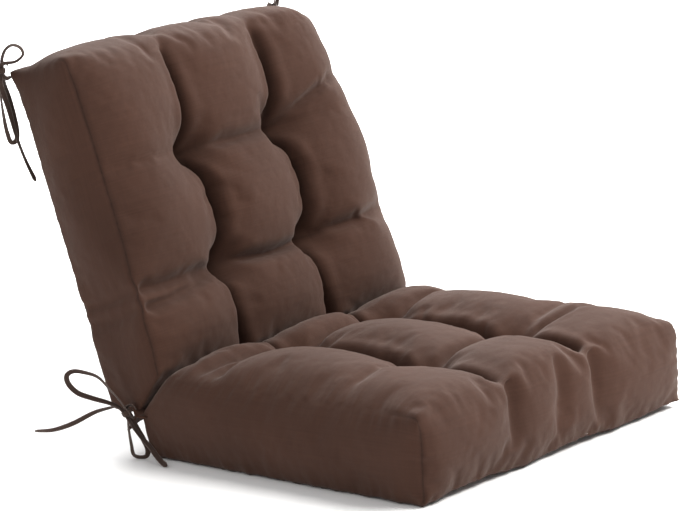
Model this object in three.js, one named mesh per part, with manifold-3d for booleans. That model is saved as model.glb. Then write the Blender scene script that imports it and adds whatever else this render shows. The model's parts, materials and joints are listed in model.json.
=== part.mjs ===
// Tufted seat-and-back chair cushion, laid out as it sits in a chair.
// Millimetres, +Z up. X runs across the cushion, the seat's front edge points to -Y, and the
// fold between seat and back runs along X through (0, FOLD_Y, FOLD_HEIGHT). The origin is under
// the middle of the two pads' box.

import * as THREE from 'three';
import { mergeVertices } from 'three/addons/utils/BufferGeometryUtils.js';
import Module from 'manifold-3d';

// ---- driving dimensions ------------------------------------------------------------------
const WIDTH = 533;              // across both pads, seam to seam
const FOLD_HEIGHT = 55;         // height of the sewn fold above the surface the seat lies on
const FOLD_Y = 140.6;           // the fold's distance behind the middle of the pads' box
const RECLINE_DEG = 18;         // lean of the back from upright
const FABRIC = 1.2;             // cover thickness
const FOLD_HALF = 2.6;           // half thickness of a pad where it meets the fold
const GAP = 0.3;                // clearance between touching pieces
const FOLD_MARGIN = 4;          // from the fold line to where the stuffed part of a pad starts
const SEAT = {
  name: 'seat', length: 470, front: 60, rear: 55, crown: 18,
  topPanel: 'seat_top_panel', bottomPanel: 'seat_bottom_panel', tuftRows: [127, 338],
};
const BACK = {
  name: 'back', length: 475, front: 54, rear: 48, crown: 18,
  topPanel: 'back_front_panel', bottomPanel: 'back_rear_panel', tuftRows: [160, 318],
};
const TUFT_COLUMN = WIDTH / 6;  // the tufts stand in two columns, this far either side of the middle
const TUFT_DEPTH = 44;          // how far a tuft pulls the front cover in
const TUFT_DEPTH_REAR = 7;      // how far it pulls the rear cover in
const TUFT_SPREAD = 34;         // how wide the hollow round a tuft is
const CREASE_DEPTH = 14;        // furrow that joins the tufts of one column
const THREAD_RADIUS = 1.2;      // tuft thread, through the whole pad
const TACK = { length: 11, width: 2.6, height: 1.6 };   // stitched bar at each end of a tuft thread
const WEB = { width: 3.6, thickness: 1.8 };             // sewn fold between the pads

const TIE_RADIUS = 1.75;        // round section with the area of the flat 7.5 mm tie
const STRAND_STEPS = 1.6;       // cross-sections of a strand for each point of its route
const KNOT = { inner: 6.3, outer: 8.2, height: 7 };     // outer turn of each bow's knot
const PASS = 2.2;               // offset of each strand's two passes from the knot's centre

const COVER_COLOUR = 0x4a3a35;
const FILL_COLOUR = 0xe9e6df;
const THREAD_COLOUR = 0x3c302c;

// ---- solids ------------------------------------------------------------------------------
const wasm = await Module();
wasm.setup();

function toManifold(geometry) {
  const bare = geometry.clone();
  bare.deleteAttribute('normal');
  bare.deleteAttribute('uv');
  const merged = mergeVertices(bare, 1e-4);
  return new wasm.Manifold(new wasm.Mesh({
    numProp: 3,
    vertProperties: new Float32Array(merged.attributes.position.array),
    triVerts: new Uint32Array(merged.index.array),
  }));
}

function toGeometry(solid) {
  const mesh = solid.getMesh();
  const geometry = new THREE.BufferGeometry();
  geometry.setAttribute('position', new THREE.BufferAttribute(mesh.vertProperties, 3));
  geometry.setIndex(new THREE.BufferAttribute(mesh.triVerts, 1));
  geometry.computeVertexNormals();
  return geometry;
}

function fabricMesh(name, geometry, colour = COVER_COLOUR, roughness = 0.9) {
  const material = new THREE.MeshStandardMaterial({ color: colour, roughness, metalness: 0 });
  const mesh = new THREE.Mesh(geometry, material);
  mesh.name = name;
  return mesh;
}

// ---- pad shape ---------------------------------------------------------------------------
// Each pad is modelled flat: x across, u away from the fold, w towards the side that is sat
// on or leant on. A pad's own group then turns it into place.

// Values that pass through every stop given, with even steps of about `step` between stops.
function spaced(stops, step) {
  const values = [stops[0]];
  for (let i = 1; i < stops.length; i++) {
    const count = Math.ceil(Math.abs(stops[i] - stops[i - 1]) / step);
    for (let k = 1; k <= count; k++) {
      values.push(THREE.MathUtils.lerp(stops[i - 1], stops[i], k / count));
    }
  }
  return values;
}

// How far the front cover is pulled in at (x, u): hollows at the tufts, a furrow down each
// column, and less crown towards the sides and ends.
function frontHeight(pad, x, u) {
  const across = 1 - Math.pow(Math.abs(x) / (WIDTH / 2), 4);
  const along = 1 - Math.pow(Math.abs(2 * u / pad.length - 1), 4);
  let height = pad.front + pad.crown * across * along;
  for (const column of [-TUFT_COLUMN, TUFT_COLUMN]) {
    const sideways = Math.exp(-(((x - column) / TUFT_SPREAD) ** 2));
    height -= CREASE_DEPTH * sideways * along;
    for (const row of pad.tuftRows) {
      height -= (TUFT_DEPTH - CREASE_DEPTH) * sideways * Math.exp(-(((u - row) / TUFT_SPREAD) ** 2));
    }
  }
  return height;
}

function rearDepth(pad, x, u) {
  let depth = pad.rear;
  for (const column of [-TUFT_COLUMN, TUFT_COLUMN]) {
    for (const row of pad.tuftRows) {
      const distance = ((x - column) ** 2 + (u - row) ** 2) / TUFT_SPREAD ** 2;
      depth -= TUFT_DEPTH_REAR * Math.exp(-distance);
    }
  }
  return depth;
}

// The closed outline of a pad in the (u, w) plane at one x: up the bevel next to the fold,
// along the front, round the far end, back along the rear and up the short end face.
function padOutline(pad, x) {
  const bevel = pad.front - 16;
  const points = [[FOLD_MARGIN, FOLD_HALF]];
  points.push([FOLD_MARGIN + bevel / 2, FOLD_HALF + bevel / 2]);
  points.push([FOLD_MARGIN + bevel, FOLD_HALF + bevel - 1]);
  const frontStart = pad.front + 22;
  const frontEnd = pad.length - 34;
  const [nearRow, farRow] = pad.tuftRows;
  for (const u of spaced([frontStart, nearRow, farRow, frontEnd], 44)) {
    points.push([u, frontHeight(pad, x, u)]);
  }
  const noseHeight = points.at(-1)[1];
  const nose = 34;
  for (const degrees of [30, 60, 90]) {
    const turn = THREE.MathUtils.degToRad(degrees);
    points.push([frontEnd + nose * Math.sin(turn), noseHeight - nose * (1 - Math.cos(turn))]);
  }
  const heel = 12;
  const heelLevel = heel - pad.rear;
  points.push([pad.length, (noseHeight - nose + heelLevel) / 2]);
  for (const degrees of [0, 45, 90]) {
    const turn = THREE.MathUtils.degToRad(degrees);
    points.push([pad.length - heel * (1 - Math.cos(turn)), heelLevel - heel * Math.sin(turn)]);
  }
  for (const u of spaced([pad.length - heel, farRow, nearRow, 30], 56).slice(1)) {
    points.push([u, -rearDepth(pad, x, u)]);
  }
  points.push([14, -pad.rear + 7]);
  points.push([7, -pad.rear + 22]);
  points.push([FOLD_MARGIN, -FOLD_HALF]);
  return points;
}

// The outline drawn in, each point moved along the bisector of its two edges: by `inset`
// everywhere, and by `shrink` as well except close to the thin end at the fold.
function drawnIn(points, inset, shrink) {
  return points.map(([u, w], i) => {
    const distance = inset + shrink * THREE.MathUtils.smoothstep(u, FOLD_MARGIN, 50);
    const before = points.at(i - 1);
    const after = points[(i + 1) % points.length];
    const first = new THREE.Vector2(u - before[0], w - before[1]).normalize();
    const second = new THREE.Vector2(after[0] - u, after[1] - w).normalize();
    const inward = new THREE.Vector2(first.y + second.y, -first.x - second.x).normalize();
    const mitre = Math.max(0.5, inward.dot(new THREE.Vector2(first.y, -first.x)));
    return [u + inward.x * distance / mitre, w + inward.y * distance / mitre];
  });
}

// A pad-shaped body whose surface lies `inset` inside the pad's outer surface. The outline
// shrinks over the last few millimetres at each side, so the long edges are rounded.
function padBody(pad, inset) {
  const half = WIDTH / 2 - inset;
  const edges = [[0, 9], [3, 4], [10, 0.8]];
  const innerHalf = half - 26;
  const stations = edges.map(([back, shrink]) => [-half + back, shrink]);
  for (const x of spaced([-innerHalf, -TUFT_COLUMN, TUFT_COLUMN, innerHalf], 46)) {
    stations.push([x, 0]);
  }
  stations.push(...edges.toReversed().map(([back, shrink]) => [half - back, shrink]));
  const rings = stations.map(([x, shrink]) => {
    const taper = drawnIn(padOutline(pad, x), inset, shrink);
    return taper.map(([u, w]) => [x, u, w]);
  });
  const count = rings[0].length;
  const positions = rings.flat(2);
  const faces = [];
  for (let s = 0; s + 1 < rings.length; s++) {
    for (let i = 0; i < count; i++) {
      const a = s * count + i;
      const b = s * count + (i + 1) % count;
      faces.push(a, b + count, b, a, a + count, b + count);
    }
  }
  const last = (rings.length - 1) * count;
  const centre = [pad.length / 2, (pad.front - pad.rear) / 2];
  const middles = positions.length / 3;
  positions.push(rings[0][0][0], ...centre, rings.at(-1)[0][0], ...centre);
  for (let i = 0; i < count; i++) {
    const next = (i + 1) % count;
    faces.push(middles, i, next, middles + 1, last + next, last + i);
  }
  const geometry = new THREE.BufferGeometry();
  geometry.setAttribute('position', new THREE.Float32BufferAttribute(positions, 3));
  geometry.setIndex(faces);
  return toManifold(geometry);
}

// A block between two x planes, and between two lines in the (u, w) plane.
function cutter(xLow, xHigh, outline) {
  const shape = new THREE.Shape(outline.map(([u, w]) => new THREE.Vector2(u, w)));
  const geometry = new THREE.ExtrudeGeometry(shape, { depth: xHigh - xLow, bevelEnabled: false });
  const toPad = new THREE.Matrix4().makeBasis(
    new THREE.Vector3(0, 1, 0), new THREE.Vector3(0, 0, 1), new THREE.Vector3(1, 0, 0));
  geometry.applyMatrix4(toPad);
  geometry.translate(xLow, 0, 0);
  return toManifold(geometry);
}

function box(width, length, height, x, u, w) {
  const geometry = new THREE.BoxGeometry(width, length, height);
  geometry.translate(x, u, w);
  return toManifold(geometry);
}

// ---- tufts -------------------------------------------------------------------------------
// A thread through the pad with a short stitched bar at each end, grown by `clearance` when
// it is used to cut its own way through the cover and the fill.
function tuftThread(pad, x, u, clearance) {
  const top = frontHeight(pad, x, u) + GAP;
  const bottom = -rearDepth(pad, x, u) - GAP;
  const shaft = new THREE.CylinderGeometry(THREAD_RADIUS + clearance, THREAD_RADIUS + clearance,
    top - bottom + 2 * GAP, 8);
  shaft.rotateX(Math.PI / 2);
  shaft.translate(x, u, (top + bottom) / 2);
  const length = TACK.length + 2 * clearance;
  const width = TACK.width + 2 * clearance;
  const height = TACK.height + 2 * clearance;
  const front = box(length, width, height, x, u, top + TACK.height / 2);
  const rear = box(length, width, height, x, u, bottom - TACK.height / 2);
  return toManifold(shaft).add(front).add(rear);
}

// ---- one pad -----------------------------------------------------------------------------
function makePad(pad) {
  const group = new THREE.Group();
  const outer = padBody(pad, 0);
  const shell = outer.subtract(padBody(pad, FABRIC));
  const reach = WIDTH;
  const bandEdge = WIDTH / 2 - FABRIC;
  const panelEdge = bandEdge - GAP;
  const farSeam = 4 - pad.rear;
  const ahead = [[-50, GAP / 2], [0, GAP / 2], [pad.length + 50, farSeam + GAP / 2],
    [pad.length + 50, 200], [-50, 200]];
  const behind = [[-50, -GAP / 2], [-50, -200], [pad.length + 50, -200],
    [pad.length + 50, farSeam - GAP / 2], [0, -GAP / 2]];
  const whole = [[-50, -200], [pad.length + 50, -200], [pad.length + 50, 200], [-50, 200]];

  let front = shell.intersect(cutter(-panelEdge, panelEdge, ahead));
  let rear = shell.intersect(cutter(-panelEdge, panelEdge, behind));
  let fill = padBody(pad, FABRIC + GAP);
  const sideNames = pad === SEAT ? { left: 1, right: -1 } : { left: -1, right: 1 };
  const rowNames = pad === SEAT ? ['rear', 'front'] : ['lower', 'upper'];
  for (const [side, sign] of Object.entries(sideNames)) {
    const slab = sign < 0 ? cutter(-reach, -bandEdge, whole) : cutter(bandEdge, reach, whole);
    group.add(fabricMesh(`${pad.name}_${side}_band`, toGeometry(shell.intersect(slab))));
    pad.tuftRows.forEach((row, i) => {
      const x = sign * TUFT_COLUMN;
      const hole = tuftThread(pad, x, row, GAP);
      front = front.subtract(hole);
      rear = rear.subtract(hole);
      fill = fill.subtract(hole);
      const thread = toGeometry(tuftThread(pad, x, row, 0));
      group.add(fabricMesh(`${pad.name}_tuft_${rowNames[i]}_${side}`, thread, THREAD_COLOUR, 0.7));
    });
  }
  group.add(fabricMesh(pad.topPanel, toGeometry(front)));
  group.add(fabricMesh(pad.bottomPanel, toGeometry(rear)));
  group.add(fabricMesh(`${pad.name}_fill`, toGeometry(fill), FILL_COLOUR, 1));
  return group;
}

// ---- fold and ties -----------------------------------------------------------------------
function makeWeb() {
  const shape = new THREE.Shape();
  shape.absellipse(-0.7, 0, WEB.width / 2, WEB.thickness / 2, 0, 2 * Math.PI);
  const web = new THREE.ExtrudeGeometry(shape, { depth: WIDTH - 8, bevelEnabled: false, curveSegments: 10 });
  const alongX = new THREE.Matrix4().makeBasis(
    new THREE.Vector3(0, 1, 0), new THREE.Vector3(0, 0, 1), new THREE.Vector3(1, 0, 0));
  web.applyMatrix4(alongX);
  web.translate(-WIDTH / 2 + 4, 0, FOLD_HEIGHT);
  return fabricMesh('hinge_web', web);
}

// A bow is laid out in its own axes: a along the cushion's side towards its front, b up, c away
// from the cushion. Each strand leaves the seam, runs through the knot, makes its loop, comes
// back through the knot and ends in a free tail.
const TOP_BOW = {
  place: 'top', origin: [WIDTH / 2 + 7, 204, 497], tilt: 0,
  strands: {
    a: [
      [10, -9, -8], [10, -10, 0], [6, -9, 5], [PASS, -4, PASS], [PASS, 4, PASS],
      [3, 16, 4], [9, 29, 5], [18, 34, 5], [28, 30, 5], [31, 21, 4], [21, 12, 4], [5, 10, 5],
      [-PASS, 5, PASS], [-PASS, -5, PASS],
      [0, -20, 8], [8, -50, 9], [15, -84, 9], [25, -118, 8], [37, -148, 8],
    ],
    b: [
      [9, 5, -9], [5, 10, -5], [PASS, 5, -PASS], [PASS, -5, -PASS],
      [4, -18, -2], [9, -36, 0], [13, -58, 1], [16, -82, 2], [14, -94, 2], [8, -96, 2], [3, -82, 1],
      [-1, -52, 0], [-3, -20, -2], [-PASS, -5, -PASS], [-PASS, 5, -PASS],
      [-6, 10, -1], [-10, 6, 1], [-13, -8, 2], [-13, -26, 2], [-9, -47, 2],
    ],
  },
};
const FOLD_BOW = {
  place: 'fold', origin: [WIDTH / 2 + 12, 10, 60], tilt: 30,
  strands: {
    a: [
      [12, -4, 0], [8.5, -7, 2.5], [4.4, -3.2, PASS], [-0.6, 5.4, PASS],
      [-8, 18, 3], [-20, 34, 4], [-34, 51, 5], [-51, 58, 5], [-66, 60, 4], [-74, 55, 4], [-73, 44, 3],
      [-62, 31, 3], [-45, 23, 2], [-22, 15, 2], [-10, 9, 2.5], [-4.4, 3.2, PASS], [0.6, -5.4, PASS],
      [9, -18, 9], [20, -30, 20], [30, -39, 31], [38, -48, 42], [46, -55, 52], [52, -57.5, 60],
    ],
    b: [
      [13, 4, 0], [6, 9.5, -3], [-0.6, 5.4, -PASS], [4.4, -3.2, -PASS],
      [12, -19, 3], [22, -36, 13], [26, -47, 16], [24, -55, 15], [16, -57.5, 12], [7, -55, 8],
      [4, -42, 3], [1.5, -22, -2], [0.6, -5.4, -PASS], [-4.4, 3.2, -PASS],
      [-12, 8, -3], [-25, 6, -4], [-40, 2, -5], [-51, -3, -6], [-71, -13, -8], [-97, -21, -10],
      [-122, -22, -12],
    ],
  },
};
const BOW_FACING = THREE.MathUtils.degToRad(-50);

// A curve that is cut into sections between its own points, so tight turns get short steps.
class StrandRoute extends THREE.CatmullRomCurve3 {
  getUtoTmapping(u) {
    return u;
  }
}

function makeStrand(points) {
  const route = new StrandRoute(points.map((point) => new THREE.Vector3(...point)));
  const section = new THREE.Shape();
  section.absarc(0, 0, TIE_RADIUS, 0, 2 * Math.PI);
  const steps = Math.round(points.length * STRAND_STEPS);
  return new THREE.ExtrudeGeometry(section, { extrudePath: route, steps, curveSegments: 4 });
}

function makeKnot(tilt) {
  const { inner, outer, height } = KNOT;
  const profile = [[inner, -height / 2], [outer, -height / 2], [outer, height / 2],
    [inner, height / 2], [inner, -height / 2]];
  const ring = new THREE.LatheGeometry(profile.map(([r, h]) => new THREE.Vector2(r, h)), 12);
  ring.rotateZ(THREE.MathUtils.degToRad(tilt));
  return ring;
}

// One bow in place on the left (sign -1) or, as its mirror image, on the right (sign 1).
function makeBow(bow, side, sign) {
  const facing = new THREE.Matrix4().makeBasis(
    new THREE.Vector3(Math.cos(BOW_FACING), Math.sin(BOW_FACING), 0),
    new THREE.Vector3(0, 0, 1),
    new THREE.Vector3(Math.sin(BOW_FACING), -Math.cos(BOW_FACING), 0));
  facing.setPosition(-bow.origin[0], bow.origin[1], bow.origin[2]);
  const pieces = { knot: makeKnot(bow.tilt) };
  for (const [strand, points] of Object.entries(bow.strands)) {
    pieces[`strand_${strand}`] = makeStrand(points);
  }
  const group = new THREE.Group();
  for (const [piece, geometry] of Object.entries(pieces)) {
    geometry.applyMatrix4(facing);
    const placed = sign < 0 ? geometry : mirrored(geometry);
    group.add(fabricMesh(`tie_${bow.place}_${side}_${piece}`, placed));
  }
  return group;
}

function mirrored(geometry) {
  const copy = geometry.index ? geometry.toNonIndexed() : geometry;
  const places = copy.attributes.position.array;
  for (let i = 0; i < places.length; i += 9) {
    for (const corner of [0, 3, 6]) places[i + corner] *= -1;
    for (const k of [0, 1, 2]) [places[i + 3 + k], places[i + 6 + k]] = [places[i + 6 + k], places[i + 3 + k]];
  }
  copy.computeVertexNormals();
  return copy;
}

// ---- assembly ----------------------------------------------------------------------------
const cushion = new THREE.Group();
const seat = makePad(SEAT);
seat.rotation.z = Math.PI;
seat.position.z = FOLD_HEIGHT;
const back = makePad(BACK);
back.rotation.x = THREE.MathUtils.degToRad(90 - RECLINE_DEG);
back.position.z = FOLD_HEIGHT;
cushion.add(seat, back, makeWeb());
for (const bow of [TOP_BOW, FOLD_BOW]) {
  cushion.add(makeBow(bow, 'left', -1), makeBow(bow, 'right', 1));
}
cushion.position.y = FOLD_Y;
export default cushion;
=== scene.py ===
"""Tufted seat-and-back chair cushion in plain brown woven polyester, tied with four fabric bows.

Both pads are cut as flat panels, inflated by cloth simulation against their tuft threads, then
split along their seams into the panels they are sewn from.
"""
import json
import math

import bpy
import numpy as np
from mathutils import Matrix, Vector, noise
from mathutils.bvhtree import BVHTree

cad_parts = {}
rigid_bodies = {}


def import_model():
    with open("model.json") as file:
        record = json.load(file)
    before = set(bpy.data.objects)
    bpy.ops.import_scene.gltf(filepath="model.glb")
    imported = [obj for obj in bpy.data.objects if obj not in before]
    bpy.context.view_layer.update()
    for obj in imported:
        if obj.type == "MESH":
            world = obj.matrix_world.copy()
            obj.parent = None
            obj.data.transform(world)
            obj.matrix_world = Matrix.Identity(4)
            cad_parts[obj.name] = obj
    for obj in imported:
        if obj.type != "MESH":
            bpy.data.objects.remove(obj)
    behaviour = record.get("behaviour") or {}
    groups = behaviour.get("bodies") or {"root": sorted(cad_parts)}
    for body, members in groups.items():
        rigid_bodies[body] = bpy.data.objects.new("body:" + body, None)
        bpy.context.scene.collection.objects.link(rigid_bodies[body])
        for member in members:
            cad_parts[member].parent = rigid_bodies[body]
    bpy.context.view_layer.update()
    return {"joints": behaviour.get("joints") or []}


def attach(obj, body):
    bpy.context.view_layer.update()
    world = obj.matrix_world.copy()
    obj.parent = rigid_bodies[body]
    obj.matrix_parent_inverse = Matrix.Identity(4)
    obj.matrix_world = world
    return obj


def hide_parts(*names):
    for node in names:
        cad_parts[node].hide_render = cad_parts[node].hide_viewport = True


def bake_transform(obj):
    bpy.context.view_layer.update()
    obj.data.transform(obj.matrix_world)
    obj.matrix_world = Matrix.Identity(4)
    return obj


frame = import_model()

# ---- sizes, in metres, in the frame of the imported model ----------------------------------
FOLD = Vector(frame["joints"][0]["pos_m"])      # the sewn fold between the pads, at x = 0
RECLINE = math.radians(18)                      # lean of the back from upright
WIDTH = 0.533                                   # side seam to side seam
COLUMN = WIDTH / 6                              # tuft columns, either side of the middle
CLOTH_CELL = 0.0069                             # spacing of the simulated cloth's points
FABRIC = 0.0012                                 # cover thickness
STITCH_PITCH = 0.0035                           # needle holes along the seams
WADDING_GAP = 0.0032                            # wadding's surface inside the cover's outer face
SIDE_SWELL = 0.002                              # how far the filling pushes each side out
SIM_FRAMES = 32

# Lengths run along each pad from the fold, heights out from its middle towards the sitter.
# Pairs in `rounding` are (left side 0 or right side 1, radius), in `band_folds` (length, depth)
# and in `nose_folds` (x, depth). `slack` draws the right far corner in, sideways and lengthways.
# `far_furrows` is the fade and the pull of the furrows beyond the tufts, and `tie_tug` is how
# far the ties draw the rear corners out, lengthways and in height.
PADS = {
    "seat": dict(
        length=0.470, front=0.060, rear=0.055, rows=(0.127, 0.338), depth=0.050, crown=0.022,
        slack=(-0.020, -0.004), flatness=0.35, hem_lift=0.009,
        band_folds=(), rounding=((0, 0.022), (1, 0.022)),
        end_rounding=0, crisp_far_end=True, tie_tug=(), far_furrows=(0.6, 0.55),
        nose_folds=((-COLUMN, 0.016), (0.012, 0.009), (COLUMN, 0.014)),
        panels=("seat_top_panel", "seat_bottom_panel"), row_names=("rear", "front"),
        along=Vector((0, -1, 0)), out=Vector((0, 0, 1)), seed=11),
    "back": dict(
        length=0.475, front=0.054, rear=0.048, rows=(0.160, 0.318), depth=0.048, crown=0.022,
        slack=(0.036, 0.016), flatness=0.08, hem_lift=0,
        band_folds=((0.152, 0.007), (0.128, 0.005)), rounding=((1, 0.034),),
        end_rounding=0.020, crisp_far_end=False, tie_tug=(0.007, -0.009),
        far_furrows=(0.85, 0.40), nose_folds=(),
        panels=("back_front_panel", "back_rear_panel"), row_names=("lower", "upper"),
        along=Vector((0, math.sin(RECLINE), math.cos(RECLINE))),
        out=Vector((0, -math.cos(RECLINE), math.sin(RECLINE))), seed=29),
}
PAD_ANGLE = math.pi / 2 + RECLINE               # between the pads at rest
MITRE = 1 / math.tan(PAD_ANGLE / 2)             # slope of the plane that halves it, in pad axes


# ---- camera, light and floor -------------------------------------------------------------
def turned(azimuth, elevation):
    """The direction from the object to a viewer at this azimuth and elevation, in degrees."""
    a, e = math.radians(azimuth), math.radians(elevation)
    return Vector((math.sin(a) * math.cos(e), -math.cos(a) * math.cos(e), math.sin(e)))


def make_camera():
    """The camera stands to the left of the front, a little above the cushion."""
    azimuth, elevation, distance, roll = -50.1, 12.3, 4.59, math.radians(-2.7)
    aim_left, aim_low = 0.014, 0.0187               # how far beside the middle it looks
    middle = Vector((0, FOLD.y - 0.150, 0.250))
    away = turned(azimuth, elevation)
    right = (-away).cross(Vector((0, 0, 1))).normalized()
    up = right.cross(-away)
    right, up = (math.cos(roll) * right + math.sin(roll) * up,
                 math.cos(roll) * up - math.sin(roll) * right)
    stand = middle + distance * away
    aim = middle - aim_left * right - aim_low * up
    back = (stand - aim).normalized()
    right = up.cross(back).normalized()
    up = back.cross(right)
    camera = bpy.data.objects.new("camera", bpy.data.cameras.new("camera"))
    camera.matrix_world = Matrix.Translation(stand) @ Matrix(
        (right, up, back)).transposed().to_4x4()
    camera.data.lens = 184.2
    camera.data.sensor_width = 36
    bpy.context.scene.collection.objects.link(camera)
    bpy.context.scene.camera = camera


def add_area_light(name, azimuth, elevation, distance, size, power, colour=(1, 1, 1),
                   downwards=False):
    """A round soft light that faces the cushion, or the floor below it if `downwards`."""
    light = bpy.data.lights.new(name, "AREA")
    light.shape = "DISK"
    light.size = size
    light.energy = power
    light.color = colour
    lamp = bpy.data.objects.new(name, light)
    away = turned(azimuth, elevation)
    lamp.location = Vector((0, 0, 0.2)) + distance * away
    if not downwards:
        lamp.rotation_euler = away.to_track_quat("Z", "Y").to_euler()
    bpy.context.scene.collection.objects.link(lamp)


def make_studio():
    """A pale floor and surroundings, with soft lights. "backdrop" brightens the far floor."""
    scene = bpy.context.scene
    scene.view_settings.view_transform = "Standard"
    world = bpy.data.worlds.new("studio")
    world.use_nodes = True
    background = world.node_tree.nodes["Background"]
    background.inputs["Color"].default_value = (1.0, 1.0, 1.0, 1)
    background.inputs["Strength"].default_value = 0.62
    scene.world = world
    add_area_light("key", 30, 46, 3.0, 1.6, 104, (1, 0.985, 0.96))
    add_area_light("fill", -80, 30, 3.5, 2.2, 14, (1, 0.97, 0.95))
    add_area_light("side", 75, 28, 3.2, 1.8, 44, (1, 0.98, 0.97))
    add_area_light("rim", 140, 50, 3.0, 1.8, 26, (1, 0.98, 0.97))
    add_area_light("backdrop", 130, 35, 5.0, 5.0, 420, downwards=True)
    mesh = bpy.data.meshes.new("floor")
    reach = 8.0
    corners = [(a * reach, b * reach, 0) for a, b in ((-1, -1), (1, -1), (1, 1), (-1, 1))]
    mesh.from_pydata(corners, [], [(0, 1, 2, 3)])
    floor = bpy.data.objects.new("floor", mesh)
    scene.collection.objects.link(floor)
    mesh.materials.append(plain_material("floor_paint", (0.93, 0.93, 0.93), 0.85))


# ---- materials ---------------------------------------------------------------------------
def put(tree, node, inputs):
    """Sets a node's inputs, each to a plain value or to another node's output."""
    for name, value in dict(inputs).items():
        if isinstance(value, bpy.types.NodeSocket):
            tree.links.new(value, node.inputs[name])
        else:
            node.inputs[name].default_value = value


def add_node(tree, kind, output, inputs=(), **settings):
    """Adds a node and returns one of its outputs."""
    made = tree.nodes.new(kind)
    for key, value in settings.items():
        setattr(made, key, value)
    put(tree, made, inputs)
    return made.outputs[output]


def plain_material(name, colour, roughness):
    """One even colour, with a faint shine."""
    material = bpy.data.materials.new(name)
    material.use_nodes = True
    put(material.node_tree, material.node_tree.nodes["Principled BSDF"],
        {"Base Color": (*colour, 1), "Roughness": roughness, "Specular IOR Level": 0.25})
    return material


def fabric_material(name, colour, sewn_and_shade, sheen, pitch=0.0011):
    """Plain woven polyester: over-and-under threads in the cloth's own axes, slubs that run
    along single threads, soft larger patches of lighter and darker cloth, and a slight sheen.
    Needle holes take the second colour, and the bottoms of furrows take it too, as painted shade for
    the shade between pillows pressed closer together than in the model."""
    material = bpy.data.materials.new(name)
    material.use_nodes = True
    tree = material.node_tree

    def node(kind, output, inputs=(), **settings):
        return add_node(tree, kind, output, inputs, **settings)

    def maths(operation, *values):
        return node("ShaderNodeMath", 0, enumerate(values), operation=operation)

    def noise_field(vector, scale, detail):
        return node("ShaderNodeTexNoise", "Fac",
                    {"Vector": vector, "Scale": scale, "Detail": detail, "Roughness": 0.55})

    def mapped(value, low, high, start=0.0, end=1.0):
        return node("ShaderNodeMapRange", 0, {"Value": value, "From Min": start, "From Max": end,
                                              "To Min": low, "To Max": high})

    def mixed(factor, first, second, **settings):
        return node("ShaderNodeMix", "Result", {"Factor": factor, "A": first, "B": second},
                    data_type="RGBA", **settings)

    cloth = node("ShaderNodeAttribute", "Vector", attribute_name="cloth")
    place = node("ShaderNodeNewGeometry", "Position")
    axes = [node("ShaderNodeSeparateXYZ", axis, {"Vector": cloth}) for axis in "XY"]

    def waves(kind, spacing):
        """A pattern that repeats at this spacing both across and along the cloth."""
        turns = 2 * math.pi / spacing
        return maths("MULTIPLY", *(maths(kind, maths("MULTIPLY", axis, turns)) for axis in axes))

    def slub(factors):
        return noise_field(node("ShaderNodeMapping", "Vector",
                                {"Vector": cloth, "Scale": factors}), 1.0, 2)

    slub_warp, slub_weft = slub((900, 25, 1)), slub((9, 420, 1))
    slubs = maths("ADD", slub_warp, slub_weft)
    ramp = tree.nodes.new("ShaderNodeValToRGB")
    for element, position, share in zip(ramp.color_ramp.elements, (0.30, 0.72), (0.90, 1.10)):
        element.position = position
        element.color = (*[c * share for c in colour], 1)
    tree.links.new(noise_field(place, 7.0, 3), ramp.inputs["Fac"])
    threads = mixed(1.0, ramp.outputs["Color"], mapped(slubs, 0.86, 1.14, 0.6, 1.4),
                    blend_type="MULTIPLY")
    edge = node("ShaderNodeAttribute", "Fac", attribute_name="seam")
    grain = noise_field(place, 260.0, 2)
    holes = maths("MULTIPLY", waves("COSINE", STITCH_PITCH), 0.30)
    stitched = maths("ADD", holes, maths("ADD", grain, 0.15))
    worn = mixed(maths("MULTIPLY", maths("POWER", edge, 4.0), stitched), threads, (*sewn_and_shade, 1))
    # Painted shade: the "furrow" attribute draws the colour towards the second colour at the bottoms
    # of the furrows, standing for the shade between the pillows.
    furrow = node("ShaderNodeAttribute", "Fac", attribute_name="furrow")
    shaded = mixed(maths("MULTIPLY", furrow, 0.85), worn, (*sewn_and_shade, 1))

    height = maths("ADD", maths("MULTIPLY", waves("SINE", pitch), 0.5),
                   maths("MULTIPLY", slubs, 0.6))
    weave = node("ShaderNodeBump", "Normal",
                 {"Strength": 0.35, "Distance": 0.0004, "Height": height})
    rumple = node("ShaderNodeBump", "Normal",
                  {"Strength": 0.30, "Distance": 0.004, "Height": noise_field(place, 38.0, 3),
                   "Normal": weave})
    put(tree, tree.nodes["Principled BSDF"],
        {"Base Color": shaded, "Roughness": mapped(slub_warp, 0.74, 0.96), "Normal": rumple,
         "Sheen Weight": sheen, "Sheen Roughness": 0.45, "Sheen Tint": (0.95, 0.84, 0.78, 1),
         "Specular IOR Level": 0.16})
    return material


def fibre_material(name):
    """White polyester wadding."""
    material = plain_material(name, (0.86, 0.85, 0.82), 1.0)
    tree = material.node_tree
    fibres = add_node(tree, "ShaderNodeTexNoise", "Fac", {"Scale": 90, "Detail": 6})
    bump = add_node(tree, "ShaderNodeBump", "Normal",
                    {"Strength": 0.8, "Distance": 0.002, "Height": fibres})
    put(tree, tree.nodes["Principled BSDF"], {"Normal": bump})
    return material


# ---- small mesh helpers ------------------------------------------------------------------
def add_mesh(name, points, faces, material):
    """A smooth-shaded piece with one material."""
    mesh = bpy.data.meshes.new(name)
    mesh.from_pydata([tuple(p) for p in points], [], faces)
    mesh.materials.append(material)
    mesh.polygons.foreach_set("use_smooth", [True] * len(mesh.polygons))
    mesh.update()
    piece = bpy.data.objects.new(name, mesh)
    bpy.context.scene.collection.objects.link(piece)
    return piece


def set_vectors(mesh, name, values):
    attribute = mesh.attributes.new(name, "FLOAT_VECTOR", "POINT")
    attribute.data.foreach_set("vector", np.asarray(values, np.float32).ravel())


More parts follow.
